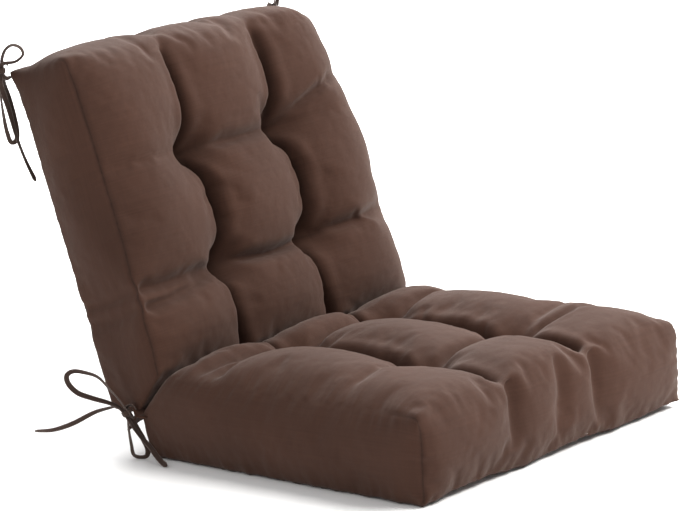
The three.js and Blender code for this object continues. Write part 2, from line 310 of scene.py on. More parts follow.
def set_floats(mesh, name, values):
    attribute = mesh.attributes.new(name, "FLOAT", "POINT")
    attribute.data.foreach_set("value", np.asarray(values, np.float32))


def triples(elements, kind):
    values = np.zeros(3 * len(elements), np.float32)
    elements.foreach_get(kind, values)
    return values.reshape(-1, 3)


def get_vectors(mesh, name):
    return triples(mesh.attributes[name].data, "vector")


def mesh_points(mesh):
    return triples(mesh.vertices, "co").astype(float)


def mesh_normals(mesh):
    return triples(mesh.vertices, "normal")


def applied(piece):
    """Gives the piece the mesh that its modifiers make, and takes them off."""
    graph = bpy.context.evaluated_depsgraph_get()
    mesh = bpy.data.meshes.new_from_object(piece.evaluated_get(graph), depsgraph=graph)
    old = piece.data
    piece.modifiers.clear()
    piece.data = mesh
    bpy.data.meshes.remove(old)
    mesh.name = piece.name
    return piece


# ---- ties --------------------------------------------------------------------------------
# A strand's points, in millimetres in its bow's own axes: a along the cushion's side towards
# its front, b up, c away from the cushion.
PASS = 2.2
BOW_FACING = math.radians(-50)
BOWS = {
    "top": dict(
        origin=(WIDTH / 2 + 0.007, FOLD.y + 0.204, 0.497), tilt=0, body="back",
        strands=dict(
            a=[(10, -9, -8), (10, -10, 0), (6, -9, 5), (PASS, -4, PASS), (PASS, 4, PASS),
               (3, 16, 4), (9, 29, 5), (18, 34, 5), (28, 30, 5), (31, 21, 4), (21, 12, 4), (5, 10, 5),
               (-PASS, 5, PASS), (-PASS, -5, PASS),
               (0, -20, 8), (8, -50, 9), (15, -84, 9), (25, -118, 8), (37, -148, 8)],
            b=[(9, 5, -9), (5, 10, -5), (PASS, 5, -PASS), (PASS, -5, -PASS),
               (4, -18, -2), (9, -36, 0), (13, -58, 1), (16, -82, 2), (14, -94, 2), (8, -96, 2),
               (3, -82, 1), (-1, -52, 0), (-3, -20, -2), (-PASS, -5, -PASS), (-PASS, 5, -PASS),
               (-6, 10, -1), (-10, 6, 1), (-13, -8, 2), (-13, -26, 2), (-9, -47, 2)])),
    "fold": dict(
        origin=(WIDTH / 2 + 0.012, FOLD.y + 0.010, 0.060), tilt=30, body="seat",
        strands=dict(
            a=[(12, -4, 0), (8.5, -7, 2.5), (4.4, -3.2, PASS), (-0.6, 5.4, PASS),
               (-8, 18, 3), (-20, 34, 4), (-34, 51, 5), (-51, 58, 5), (-66, 60, 4), (-74, 55, 4),
               (-73, 44, 3), (-62, 31, 3), (-45, 23, 2), (-22, 15, 2), (-10, 9, 2.5),
               (-4.4, 3.2, PASS), (0.6, -5.4, PASS),
               (9, -18, 9), (20, -30, 20), (30, -39, 31), (38, -48, 42), (46, -55, 52),
               (52, -57.5, 60)],
            b=[(13, 4, 0), (6, 9.5, -3), (-0.6, 5.4, -PASS), (4.4, -3.2, -PASS),
               (12, -19, 3), (22, -36, 13), (26, -47, 16), (24, -55, 15), (16, -57.5, 12),
               (7, -55, 8), (4, -42, 3), (1.5, -22, -2), (0.6, -5.4, -PASS), (-4.4, 3.2, -PASS),
               (-12, 8, -3), (-25, 6, -4), (-40, 2, -5), (-51, -3, -6), (-71, -13, -8),
               (-97, -21, -10), (-122, -22, -12)])),
}
TIE_WIDTH, TIE_THICKNESS = 0.0072, 0.0015
TIE_STEP = 0.0022


def smooth_route(points):
    """Points every TIE_STEP along a centripetal Catmull-Rom curve through the given ones."""
    points = [np.array(p, float) for p in points]
    ends = [2 * points[0] - points[1], *points, 2 * points[-1] - points[-2]]
    dense = []
    for before, start, end, after in zip(ends, ends[1:], ends[2:], ends[3:]):
        knots = np.cumsum([0, *(np.linalg.norm(q - p) ** 0.5
                                for p, q in ((before, start), (start, end), (end, after)))])
        for t in np.linspace(knots[1], knots[2], 16, endpoint=False):
            def mix(p, q, i, j):
                return p + (q - p) * (t - knots[i]) / (knots[j] - knots[i])
            first, second, third = (mix(before, start, 0, 1), mix(start, end, 1, 2),
                                    mix(end, after, 2, 3))
            dense.append(mix(mix(first, second, 0, 2), mix(second, third, 1, 3), 1, 2))
    dense = np.array([*dense, points[-1]])
    travel = np.concatenate([[0], np.cumsum(np.linalg.norm(np.diff(dense, axis=0), axis=1))])
    count = max(8, round(travel[-1] / TIE_STEP))
    stops = np.linspace(0, travel[-1], count + 1)
    return np.stack([np.interp(stops, travel, dense[:, k]) for k in range(3)], 1), travel[-1]


def bow_to_world(bow, sign, points):
    """Takes a bow's points to the frame, mirrored for the side where x is positive."""
    a, b, c = np.array(points, float).T / 1000
    x, y, z = bow["origin"]
    cos, sin = math.cos(BOW_FACING), math.sin(BOW_FACING)
    left = np.stack([-x + a * cos + c * sin, y + a * sin - c * cos, z + b], 1)
    return left * np.array([-sign, 1, 1])


def strap_sections(route, outward, phase):
    """The two axes of a flat strap at each point of its route: it faces partly outward and
    turns slowly over as it goes."""
    along = np.gradient(route, axis=0)
    along /= np.linalg.norm(along, axis=1)[:, None]
    flat = outward - along * (along @ outward)[:, None]
    for i in range(1, len(flat)):
        if np.linalg.norm(flat[i]) < 0.25:
            flat[i] = flat[i - 1]
    flat /= np.linalg.norm(flat, axis=1)[:, None]
    side = np.cross(along, flat)
    share = np.linspace(0, 1, len(route))
    turn = math.radians(48) + math.radians(26) * np.sin(2 * math.pi * (1.7 * share + phase))
    across = np.cos(turn)[:, None] * flat + np.sin(turn)[:, None] * side
    normal = np.cross(along, across)
    return across, normal


def make_strand(name, bow, sign, points, material, phase):
    """A flat hemmed strap along a strand's points, with its route and its length."""
    route, length = smooth_route(bow_to_world(bow, sign, points))
    outward = np.array([sign * math.sin(-BOW_FACING), -math.cos(BOW_FACING), 0.0])
    across, normal = strap_sections(route, outward, phase)
    half, thick = TIE_WIDTH / 2, TIE_THICKNESS / 2
    section = [(-1, 0), (-0.86, 0.8), (-0.45, 1), (0, 0.75), (0.45, 1), (0.86, 0.8),
               (1, 0), (0.86, -0.8), (0.45, -1), (0, -0.75), (-0.45, -1), (-0.86, -0.8)]
    count = len(section)
    rings, cloth = [], []
    for i, centre in enumerate(route):
        ending = min(1.0, 0.35 + 0.35 * min(i, len(route) - 1 - i))
        for s, t in section:
            rings.append(centre + across[i] * s * half * ending + normal[i] * t * thick)
            cloth.append((s * half, i * TIE_STEP, 0))
    faces = []
    for i in range(len(route) - 1):
        for k in range(count):
            a, b = i * count + k, i * count + (k + 1) % count
            faces.append((a, b, b + count, a + count))
    faces.append(tuple(reversed(range(count))))
    faces.append(tuple(range((len(route) - 1) * count, len(route) * count)))
    piece = add_mesh(name, rings, faces, material)
    set_vectors(piece.data, "cloth", cloth)
    set_floats(piece.data, "seam", [1.0 if abs(s) > 0.8 else 0.0 for s, t in section] * len(route))
    return piece, route, length


def make_knot(name, bow, sign, material, seed):
    """The turns of a bow's knot: a flat strap wound round the four passes, a second turn laid
    across it, both slightly creased."""
    points, faces, cloth = [], [], []
    tilt = math.radians(bow["tilt"])
    for lean, reach, squeeze in ((0.0, 5.4, 1.0), (0.62, 4.9, 0.9)):
        base = len(points)
        around, section = 40, 12
        for i in range(around):
            turn = 2 * math.pi * i / around
            centre = np.array([reach * math.cos(turn) * squeeze, 0, reach * 0.86 * math.sin(turn)])
            out = np.array([math.cos(turn), 0, math.sin(turn)])
            for k in range(section):
                angle = 2 * math.pi * k / section
                wide, deep = 3.7 * math.cos(angle), 1.25 * math.sin(angle)
                fold = 0.55 * noise.noise(Vector((2.2 * out[0], 2.2 * out[2] + seed, 0.55 * wide)))
                point = centre + out * (deep + fold) + np.array([0, wide, 0])
                height = point[1] * math.cos(lean) + point[0] * math.sin(lean)
                side = point[0] * math.cos(lean) - point[1] * math.sin(lean)
                points.append((side * math.cos(tilt) - height * math.sin(tilt),
                               side * math.sin(tilt) + height * math.cos(tilt), point[2]))
                cloth.append((wide / 1000, reach * turn / 1000, 0))
        for i in range(around):
            for k in range(section):
                a, b = i * section + k, i * section + (k + 1) % section
                ahead = (i + 1) % around * section
                c, d = ahead + (k + 1) % section, ahead + k
                faces.append(tuple(base + n for n in (a, b, c, d)))
    world = bow_to_world(bow, sign, points)
    piece = add_mesh(name, world, faces if sign > 0 else [f[::-1] for f in faces], material)
    set_vectors(piece.data, "cloth", cloth)
    set_floats(piece.data, "seam", np.zeros(len(points)))
    return piece


def make_ties(material):
    """Two bows at the back's rear top corners, and two at the ends of the fold."""
    phase = 0.0
    for place, bow in BOWS.items():
        for side, sign in (("left", -1), ("right", 1)):
            stem = f"tie_{place}_{side}"
            knot = make_knot(f"{stem}_knot_turns", bow, sign, material, seed=3.7 + phase)
            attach(knot, bow["body"])
            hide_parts(f"{stem}_knot")
            for strand, points in bow["strands"].items():
                phase += 0.31
                piece, route, length = make_strand(
                    f"{stem}_strap_{strand}", bow, sign, points, material, phase)
                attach(piece, bow["body"])
                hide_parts(f"{stem}_strand_{strand}")
                tuple(route[0])
                [tuple(p) for p in route]


make_camera()
make_studio()
# The cover's second colour marks its needle holes, and is also the painted shade at the bottoms of
# the furrows.
COVER = fabric_material("cover_cloth", colour=(0.0525, 0.0238, 0.0155),
                        sewn_and_shade=(0.014, 0.007, 0.005), sheen=0.12)
TIE = fabric_material("tie_cloth", colour=(0.044, 0.027, 0.021), sewn_and_shade=(0.12, 0.09, 0.08),
                      sheen=0.2, pitch=0.0008)
make_ties(TIE)


# ---- pads --------------------------------------------------------------------------------
def pad_to_world(pad, points):
    """Pad axes are x across, u along from the fold, w out towards the sitter."""
    points = np.asarray(points, float)
    return (np.array(FOLD) + points[:, :1] * np.array([1.0, 0, 0])
            + points[:, 1:2] * np.array(pad["along"]) + points[:, 2:] * np.array(pad["out"]))


def rounded_outline(corners):
    """A closed line with rounded corners, given as (u, w, radius). It returns the line's
    points, and for each corner the number of the point at the middle of its arc."""
    line, middles = [], []
    count = len(corners)
    for i, (u, w, radius) in enumerate(corners):
        here = np.array([u, w])
        to_last = np.array(corners[i - 1][:2]) - here
        to_next = np.array(corners[(i + 1) % count][:2]) - here
        to_last, to_next = to_last / np.linalg.norm(to_last), to_next / np.linalg.norm(to_next)
        half = math.acos(np.clip(to_last @ to_next, -1, 1)) / 2
        if radius == 0:
            middles.append(len(line))
            line.append(here)
            continue
        middle_way = (to_last + to_next) / np.linalg.norm(to_last + to_next)
        centre = here + middle_way * radius / math.sin(half)
        start = here + to_last * radius / math.tan(half) - centre
        end = here + to_next * radius / math.tan(half) - centre
        steps = 12
        for k in range(steps + 1):
            mix = start * (1 - k / steps) + end * k / steps
            if k == steps // 2:
                middles.append(len(line))
            line.append(centre + mix / np.linalg.norm(mix) * radius)
    return line, middles


def resampled(line, count):
    """count + 1 points spread evenly along a line."""
    line = np.array(line)
    travel = np.concatenate([[0], np.cumsum(np.linalg.norm(np.diff(line, axis=0), axis=1))])
    stops = np.linspace(0, travel[-1], count + 1)
    return np.stack([np.interp(stops, travel, line[:, k]) for k in range(2)], 1)


class PadGrid:
    """The surface of a box of nx by nu by nw cells, wrapped round a pad's outline.

    Its front is row k = nw, its rear k = 0, its far end j = nu, and its end at the fold j = 0,
    where row `fold_row` lies on the fold line."""

    def __init__(self, pad):
        length, front, rear = pad["length"], pad["front"], pad["rear"]
        half = WIDTH / 2 - SIDE_SWELL
        self.nx = 6 * round(WIDTH / CLOTH_CELL / 6)
        self.nu = round(length / CLOTH_CELL)
        self.nw = round((front + rear) / CLOTH_CELL)
        self.fold_row = round(self.nw * rear / (front + rear))
        outline, (fold, heel, far_heel, nose, lap) = rounded_outline([
            (0.003, 0, 0), (0.016, -rear, 0.016), (length, -rear, 0.006),
            (length, front, 0.016), (front * MITRE + 0.003, front, 0.012)])
        loop = outline + [outline[0]]
        near = np.concatenate([
            resampled(loop[fold:heel + 1], self.fold_row)[::-1],
            resampled(loop[lap:], self.nw - self.fold_row)[::-1][1:]])
        rear_line = resampled(loop[heel:far_heel + 1], self.nu)
        far = resampled(loop[far_heel:nose + 1], self.nw)
        front_line = resampled(loop[nose:lap + 1], self.nu)[::-1]
        self.ids, self.quads, self.tags = {}, [], []
        self.wrap()
        self.index = np.array(list(self.ids))
        j, k = self.index[:, 1], self.index[:, 2]
        s, t = (j / self.nu)[:, None], (k / self.nw)[:, None]
        corner = {(0, 0): near[0], (1, 0): far[0], (0, 1): near[-1], (1, 1): far[-1]}
        blend = (1 - t) * rear_line[j] + t * front_line[j] + (1 - s) * near[k] + s * far[k]
        blend -= ((1 - s) * (1 - t) * corner[0, 0] + s * (1 - t) * corner[1, 0]
                  + (1 - s) * t * corner[0, 1] + s * t * corner[1, 1])
        x = half * (2 * self.index[:, 0] / self.nx - 1)
        self.flat = np.column_stack([x, blend])
        self.crown(pad)
        # The right far corner is drawn in, or out where the slack is negative. Where a tie
        # holds the rear, only the front moves.
        up = np.clip((self.flat[:, 1] / length - 0.52) / 0.48, 0, 1)
        forward = self.index[:, 2] / self.nw if pad["tie_tug"] else 1.0
        drawn = forward * np.exp(-((half - x) / 0.08) ** 2) * up * up * (3 - 2 * up)
        self.flat[:, 0] -= pad["slack"][0] * drawn
        gap = (half - x) ** 2 + (length - self.flat[:, 1]) ** 2
        self.flat[:, 1] -= pad["slack"][1] * forward * np.exp(-gap / 0.05 ** 2)

    def crown(self, pad):
        """Raises the front into three columns of pillows, which is the fullness that the
        front panel is cut with."""
        x, u = self.flat[:, 0], self.flat[:, 1]
        bounds = np.array([-WIDTH / 2, -COLUMN, COLUMN, WIDTH / 2])
        first = self.flat[self.ids[0, 0, self.nw], 1]
        rows = np.array([first, *pad["rows"], u.max()])

        def swell(values, stops):
            cell = np.clip(np.searchsorted(stops, values) - 1, 0, len(stops) - 2)
            share = (values - stops[cell]) / (stops[cell + 1] - stops[cell])
            return np.sin(math.pi * np.clip(share, 0, 1)) ** 0.6

        rise = swell(x, bounds) * (0.5 + 0.5 * swell(u, rows))
        rise *= np.clip((u - rows[0]) / 0.045, 0, 1) ** 0.7
        self.flat[:, 2] += pad["crown"] * rise * (self.index[:, 2] == self.nw)

    def vertex(self, i, j, k):
        """The number of the point at i, j, k, given out when it is first asked for."""
        return self.ids.setdefault((i, j, k), len(self.ids))

    def wrap(self):
        """Makes the quads, each with the number of the panel that it belongs to."""
        nx, nu, nw, vertex = self.nx, self.nu, self.nw, self.vertex

        def add(panel, *corners):
            self.quads.append([vertex(*c) for c in corners])
            self.tags.append(panel)

        for i in range(nx):
            for j in range(nu):
                add(0, (i, j, nw), (i + 1, j, nw), (i + 1, j + 1, nw), (i, j + 1, nw))
                add(1, (i, j, 0), (i, j + 1, 0), (i + 1, j + 1, 0), (i + 1, j, 0))
            for k in range(nw):
                add(0, (i, nu, k), (i, nu, k + 1), (i + 1, nu, k + 1), (i + 1, nu, k))
                panel = 0 if k >= self.fold_row else 1
                add(panel, (i, 0, k), (i + 1, 0, k), (i + 1, 0, k + 1), (i, 0, k + 1))
        for j in range(nu):
            for k in range(nw):
                add(2, (0, j, k), (0, j, k + 1), (0, j + 1, k + 1), (0, j + 1, k))
                add(3, (nx, j, k), (nx, j + 1, k), (nx, j + 1, k + 1), (nx, j, k + 1))

    def nearest(self, x, u, k):
        """The vertex of the front (k = nw) or rear (k = 0) nearest to x, u."""
        rows = np.where(self.index[:, 2] == k)[0]
        gap = np.hypot(self.flat[rows, 0] - x, self.flat[rows, 1] - u)
        return rows[np.argmin(gap)]


COLUMN_FURROWS = 6                              # crease_lines gives the columns' furrows first


def crease_lines(pad):
    """The furrows of a pad's front as (start, end, sideways bulge, depth, fade, pull): down
    each column through its tufts, and lighter ones from side to side. The depth is less by
    the share `fade` at the end."""
    near, far = pad["front"] * MITRE, pad["length"] - 0.012
    low, high = pad["rows"]
    lines = []
    for x in (-COLUMN, COLUMN):
        lines.append(((x, low), (x * 1.02, near), -0.006, 0.040, 0.2, 0.75))
        lines.append(((x, low), (x, high), 0.016, 0.042, 0.0, 0.85))
        lines.append(((x, high), (x * 1.06, far - 0.015), 0.006, 0.038, *pad["far_furrows"]))
    side = WIDTH * 0.47
    lines.append(((-COLUMN, low), (-side, low - 0.004), 0.003, 0.018, 0.3, 0.45))
    lines.append(((-COLUMN * 1.25, low - 0.004), (-side, low - 0.030), 0.002, 0.018, 0.2, 0.55))
    lines.append(((-COLUMN, low), (COLUMN, low), 0.004, 0.022, 0.0, 0.25))
    lines.append(((COLUMN, low), (side, low + 0.015), 0.0, 0.014, 0.5, 0.08))
    lines.append(((-COLUMN, high), (COLUMN, high), 0.004, 0.014, 0.0, 0.10))
    lines.append(((COLUMN, high), (side, high + 0.055), -0.006, 0.014, 0.5, 0.10))
    return lines


def beside_line(flat, line):
    """For points x, u: the signed distance across a furrow, the share of the way along it, and
    whether they lie beside it."""
    (x0, u0), (x1, u1), bulge = line[:3]
    way = np.array([x1 - x0, u1 - u0])
    reach = np.linalg.norm(way)
    way /= reach
    offset = flat[:, :2] - np.array([x0, u0])
    travel = offset @ way / reach
    side = offset @ np.array([abs(way[1]), -way[0] * np.sign(way[1] or 1)])
    share = np.clip(travel, 0, 1)
    return side - bulge * np.sin(math.pi * share), share, (travel > -0.01) & (travel < 1.01)


def pinched(pad, grid, points):
    """Closes the furrows: the pillows on both sides swell towards each other over the bottom."""
    points = points.copy()
    on_front = grid.index[:, 2] == grid.nw
    for number, line in enumerate(crease_lines(pad)):
        miss, share, inside = beside_line(grid.flat, line)
        across = np.array([abs(line[1][1] - line[0][1]), -(line[1][0] - line[0][0])])
        across *= np.sign(across[0] or 1) / np.linalg.norm(across)
        strength = 1.0 if number < COLUMN_FURROWS else 0.15
        ends = strength * on_front * inside * np.sin(math.pi * np.clip(share, 0.15, 0.85))
        wall = ends * np.exp(-((np.abs(miss) - 0.012) / 0.007) ** 2)
        points[:, :2] -= 0.0060 * (wall * np.sign(miss))[:, None] * across
        points[:, 2] += 0.0060 * wall
    return points


def pulled_in(pad, grid):
    """The start shape of the cloth and how firmly each point is held there: fixed at the tufts
    and the fold, and drawn part of the way in along the furrows."""
    start, flat = grid.flat.copy(), grid.flat
    hold = {}
    front_rows = grid.index[:, 2] == grid.nw
    on_front = front_rows.astype(float)
    on_rear = (grid.index[:, 2] == 0).astype(float)
    dip = np.zeros(len(flat))
    for line in crease_lines(pad):
        depth, fade, pull = line[3:]
        miss, share, inside = beside_line(flat, line)
        miss = np.abs(miss)
        dip = np.maximum(dip, depth * (1 - fade * share) * np.exp(-(miss / 0.009) ** 2) * inside)
        for v in np.where(front_rows & inside & (miss < CLOTH_CELL * 0.52))[0]:
            hold[v] = max(pull, hold.get(v, 0))
    tufts = []
    for x in (-COLUMN, COLUMN):
        for u in pad["rows"]:
            top, bottom = grid.nearest(x, u, grid.nw), grid.nearest(x, u, 0)
            spread = (flat[:, 0] - flat[top, 0]) ** 2 + (flat[:, 1] - flat[top, 1]) ** 2
            dip = np.maximum(dip, pad["depth"] * np.exp(-spread / 0.026 ** 2))
            spread = (flat[:, 0] - flat[bottom, 0]) ** 2 + (flat[:, 1] - flat[bottom, 1]) ** 2
            start[:, 2] += on_rear * 0.008 * np.exp(-spread / 0.02 ** 2)
            hold[top] = hold[bottom] = 1.0
            tufts.append((top, bottom))
    start[:, 2] -= on_front * dip
    i, j, k = grid.index.T
    if pad["nose_folds"]:
        height = np.clip((k - grid.fold_row * 0.6) / (grid.nw - grid.fold_row * 0.6), 0, 1)
        for x, depth in pad["nose_folds"]:
            miss = np.abs(flat[:, 0] - x - 0.012 * height)
            start[:, 1] -= (j == grid.nu) * depth * height * np.exp(-(miss / 0.011) ** 2)
            for v in np.where((j == grid.nu) & (height > 0.25) & (miss < CLOTH_CELL * 0.52))[0]:
                hold[v] = max(0.3, hold.get(v, 0))
    rise = np.clip((k - grid.fold_row) / (grid.nw - grid.fold_row), 0, 1)
    for u, depth in pad["band_folds"]:
        miss = np.abs(flat[:, 1] - u - 0.006 * rise)
        start[:, 0] += (i == 0) * depth * np.exp(-(miss / 0.007) ** 2)
        for v in np.where((i == 0) & (rise > 0) & (miss < CLOTH_CELL * 0.52))[0]:
            hold[v] = max(0.6, hold.get(v, 0))
    start[:, 2] += (k == 0) * (j >= grid.nu - 2) * pad["hem_lift"] * np.sin(
        2.5 * math.pi * i / grid.nx) ** 2
    on_side, on_end = (i == 0) | (i == grid.nx), (j == 0) | (j == grid.nu)
    on_edge = (k == 0) | (k == grid.nw)
    for members, firmness in ((k == 0, pad["flatness"]),
                              ((on_side | on_end) & (k == 0), 0.7),
                              (on_side & (j == grid.nu), 0.25),
                              ((j == 0) & (k > grid.fold_row), 0.35),
                              (on_side & on_end & on_edge, 0.8),
                              ((j == 0) & (k == grid.fold_row), 1.0)):
        for v in np.where(members)[0]:
            hold[v] = max(firmness, hold.get(v, 0))
    return start, hold, tufts


def add_stop(point, normal):
    """A plate that the cloth can't pass, facing along normal."""
    turn = Vector(normal).to_track_quat("Z", "Y")
    mesh = bpy.data.meshes.new("stop")
    corners = [turn @ Vector((a, b, 0)) + Vector(point)
               for a, b in ((-0.8, -0.8), (0.8, -0.8), (0.8, 0.8), (-0.8, 0.8))]
    mesh.from_pydata(corners, [], [(0, 1, 2, 3)])
    plate = bpy.data.objects.new("stop", mesh)
    bpy.context.scene.collection.objects.link(plate)
    plate.modifiers.new("stop", "COLLISION")
    plate.collision.thickness_outer = 0.001
    plate.collision.use_culling = False
    return plate


def inflate(pad, grid, rests_on_floor):
    """Blows the cloth up by simulation in pad axes and returns its points."""
    start, hold, tufts = pulled_in(pad, grid)
    rng = np.random.default_rng(pad["seed"])
    start = start + rng.normal(0, 0.00035, start.shape)
    mesh = bpy.data.meshes.new("cloth")
    mesh.from_pydata(start.tolist(), [], grid.quads)
    cloth = bpy.data.objects.new("cloth", mesh)
    bpy.context.scene.collection.objects.link(cloth)
    cloth.shape_key_add(name="start")
    cut = cloth.shape_key_add(name="cut")
    cut.data.foreach_set("co", grid.flat.astype(np.float32).ravel())
    cut.value = 0
    held = cloth.vertex_groups.new(name="held")
    for v, firmness in hold.items():
        held.add([int(v)], firmness, "REPLACE")
    full = cloth.vertex_groups.new(name="full")
    i, k = grid.index[:, 0], grid.index[:, 2]
    on_side = (i == 0) | (i == grid.nx)
    on_seam = on_side & (k == 0)
    on_rear = (k == 0) & ~on_side
    for members, tightness in ((on_side, 0.55), (on_rear, 0.5), (on_seam, 1.0)):
        full.add([int(v) for v in np.where(members)[0]], tightness, "REPLACE")

    modifier = cloth.modifiers.new("cloth", "CLOTH")
    for key, value in dict(
            quality=6, mass=0.15, tension_stiffness=50, compression_stiffness=50,
            shear_stiffness=18, bending_stiffness=1.2, tension_damping=8, compression_damping=8,
            shear_damping=8, air_damping=2, use_pressure=True, uniform_pressure_force=11,
            vertex_group_mass="held", vertex_group_shrink="full", shrink_min=-0.032,
            shrink_max=0.020, rest_shape_key=cut).items():
        setattr(modifier.settings, key, value)
    modifier.settings.effector_weights.gravity = 0
    modifier.collision_settings.distance_min = 0.002
    plates = [add_stop((0, -0.001, 0), (0, math.sin(PAD_ANGLE / 2), -math.cos(PAD_ANGLE / 2)))]
    if rests_on_floor:
        plates.append(add_stop((0, 0, -pad["rear"] - 0.003), (0, 0, 1)))
    scene = bpy.context.scene
    modifier.point_cache.frame_start, modifier.point_cache.frame_end = 1, SIM_FRAMES
    for number in range(1, SIM_FRAMES + 1):
        scene.frame_set(number)
    graph = bpy.context.evaluated_depsgraph_get()
    shaped = cloth.evaluated_get(graph).to_mesh()
    points = mesh_points(shaped)
    cloth.evaluated_get(graph).to_mesh_clear()
    for done in (*plates, cloth):
        bpy.data.objects.remove(done)
    scene.frame_set(1)
    return points, tufts


def turned_faces(pad, grid):
    """The grid's faces, turned over where the pad's axes are a mirror image of the frame's."""
    mirrored = Vector((1, 0, 0)).cross(pad["along"]) @ pad["out"] < 0
    return [quad[::-1] for quad in grid.quads] if mirrored else grid.quads


def cover_mesh(name, pad, grid, points):
    """The inflated cover as one smooth closed mesh, its panels told apart by material slot."""
    piece = add_mesh(name, pad_to_world(pad, points), turned_faces(pad, grid), COVER)
    for _ in range(3):
        piece.data.materials.append(COVER)
    piece.data.polygons.foreach_set("material_index", grid.tags)
    set_vectors(piece.data, "grid", grid.index)
    # Painted shade: "furrow" is strongest at the bottoms of the front's furrows, where the cloth
    # material darkens the colour to stand for the shade between the pillows.
    depth = np.zeros(len(points))
    for number, line in enumerate(crease_lines(pad)):
        miss, share, inside = beside_line(grid.flat, line)
        strength = (1 - line[4] * share) * (1.0 if number < COLUMN_FURROWS else 0.35)
        depth = np.maximum(depth, strength * inside * np.exp(-(miss / 0.0055) ** 2))
    set_floats(piece.data, "furrow", depth * (grid.index[:, 2] == grid.nw))
    smoothing = piece.modifiers.new("smooth", "SUBSURF")
    smoothing.levels = smoothing.render_levels = 1
    return applied(piece)


def finish_seams(piece, grid, seed, lost):
    """Sinks the sewn edges into the pad and gathers the cloth beside them into small puckers.
    If `lost`, the upper side seams vanish among the gathers away from the far corners. If not,
    the far end's side edges are drawn tight, and show a seam only near the front."""
    mesh = piece.data
    points, place = mesh_points(mesh), get_vectors(mesh, "grid")
    normals = mesh_normals(mesh)
    i, j, k = place.T
    to_side = np.minimum(i, grid.nx - i)
    to_top, to_base = grid.nw - k, k
    to_end = grid.nu - j
    side_seam = np.minimum(np.hypot(to_side, to_top), np.hypot(to_side, to_base))
    end_seam = np.hypot(to_side, to_end)
    base_seam = np.hypot(to_end, to_base)
    seam = np.minimum(np.minimum(side_seam, end_seam), base_seam) * CLOTH_CELL
    run = np.where(end_seam < side_seam, k + 60, j) * CLOTH_CELL
    run = np.where(base_seam < np.minimum(side_seam, end_seam), i * CLOTH_CELL + 7, run)
    ripple = np.array([noise.noise(Vector((r * 95, seed + 3 * (n > 0), 0.3)))
                       + 0.6 * noise.noise(Vector((r * 210, seed + 9, 0.1)))
                       for r, n in zip(run, to_side)])
    near = np.exp(-(seam / (0.024 if lost else 0.016)) ** 2)
    if lost:
        faded, reach = (to_top < to_base) & (end_seam > side_seam), to_end * CLOTH_CELL / 0.06
    else:
        faded, reach = end_seam < side_seam, to_top * CLOTH_CELL / 0.012
    drawn = np.where(faded, np.exp(-reach ** 2), 1.0)
    sink = -0.0018 * drawn * np.exp(-(seam / 0.0035) ** 2)
    shift = sink + (0.0016 if lost else 0.0009) * near * ripple * (seam > 0.001)
    points += normals * shift[:, None]
    mesh.vertices.foreach_set("co", points.astype(np.float32).ravel())
    set_floats(mesh, "seam", drawn * np.exp(-(seam / 0.0045) ** 2))
    mesh.update()
    return piece


def cloth_places(panel, grid, place):
    """Where each point of a panel lies on the flat cloth, in metres."""
    i, j, k = place.T
    if panel == 0:
        along = j + np.where(j > grid.nu / 2, 1, -1) * (grid.nw - k)
    elif panel == 1:
        along = j - np.where(j < grid.nu / 2, k, 0)
    else:
        i, along = j, k
    return np.column_stack([i, along, np.zeros(len(i))]) * CLOTH_CELL


def split_panel(whole, name, panel, grid):
    """One sewn panel of the cover as its own piece, with the cloth's thickness."""
    mesh = whole.data
    faces = [tuple(p.vertices) for p in mesh.polygons if p.material_index == panel]
    used = sorted({v for face in faces for v in face})
    number = {v: n for n, v in enumerate(used)}
    points, place = mesh_points(mesh)[used], get_vectors(mesh, "grid")[used]
    piece = add_mesh(name, points, [[number[v] for v in face] for face in faces], COVER)
    set_vectors(piece.data, "cloth", cloth_places(panel, grid, place))
    # The seam marks and the painted shade of the furrows go with each panel.
    for kind in ("seam", "furrow"):
        values = np.zeros(len(mesh.vertices), np.float32)
        mesh.attributes[kind].data.foreach_get("value", values)
        set_floats(piece.data, kind, values[used])
    thicken = piece.modifiers.new("cloth", "SOLIDIFY")
    thicken.thickness = FABRIC
    thicken.offset = -1
    applied(piece)
    # The panels share the whole cover's normals, so that the light runs on over each seam.
    normals = mesh_normals(piece.data)
    normals[:len(used)] = mesh_normals(mesh)[used]
    piece.data.normals_split_custom_set_from_vertices(normals.tolist())
    return piece


def softened(pad, grid, points):
    """Rounds the upper side edges where the cover rolls over with no crisp seam."""
    edges = np.unique(np.sort(np.vstack([[(q[n], q[n - 1]) for n in range(4)]
                                         for q in grid.quads]), axis=1), axis=0)
    i, j, k = grid.index.T
    amount = np.zeros(len(points))
    for side, radius in pad["rounding"]:
        reach = np.hypot(i - side * grid.nx, grid.nw - k) * CLOTH_CELL
        amount = np.maximum(amount, np.exp(-(reach / radius) ** 2))
    if pad["end_rounding"]:
        reach = np.hypot(np.minimum(i, grid.nx - i), grid.nu - j) * CLOTH_CELL
        clear = 1 - np.exp(-((grid.nw - k) * CLOTH_CELL / 0.020) ** 2)
        clear = clear * (1 - np.exp(-(k * CLOTH_CELL / 0.030) ** 2))
        amount = np.maximum(amount, clear * np.exp(-(reach / pad["end_rounding"]) ** 2))
    if pad["crisp_far_end"]:
        amount *= 1 - np.exp(-((grid.nu - j) * CLOTH_CELL / 0.055) ** 2)
    degree = np.bincount(edges.ravel(), minlength=len(points))[:, None]
    for _ in range(10):
        total = np.zeros_like(points)
        np.add.at(total, edges[:, 0], points[edges[:, 1]])
        np.add.at(total, edges[:, 1], points[edges[:, 0]])
        points = points + 0.6 * amount[:, None] * (total / degree - points)
    if pad["tie_tug"]:
        reach = np.hypot(np.hypot(np.minimum(i, grid.nx - i), grid.nu - j), k) * CLOTH_CELL
        points += np.exp(-(reach / 0.020) ** 2)[:, None] * np.array([0, *pad["tie_tug"]])
    return points


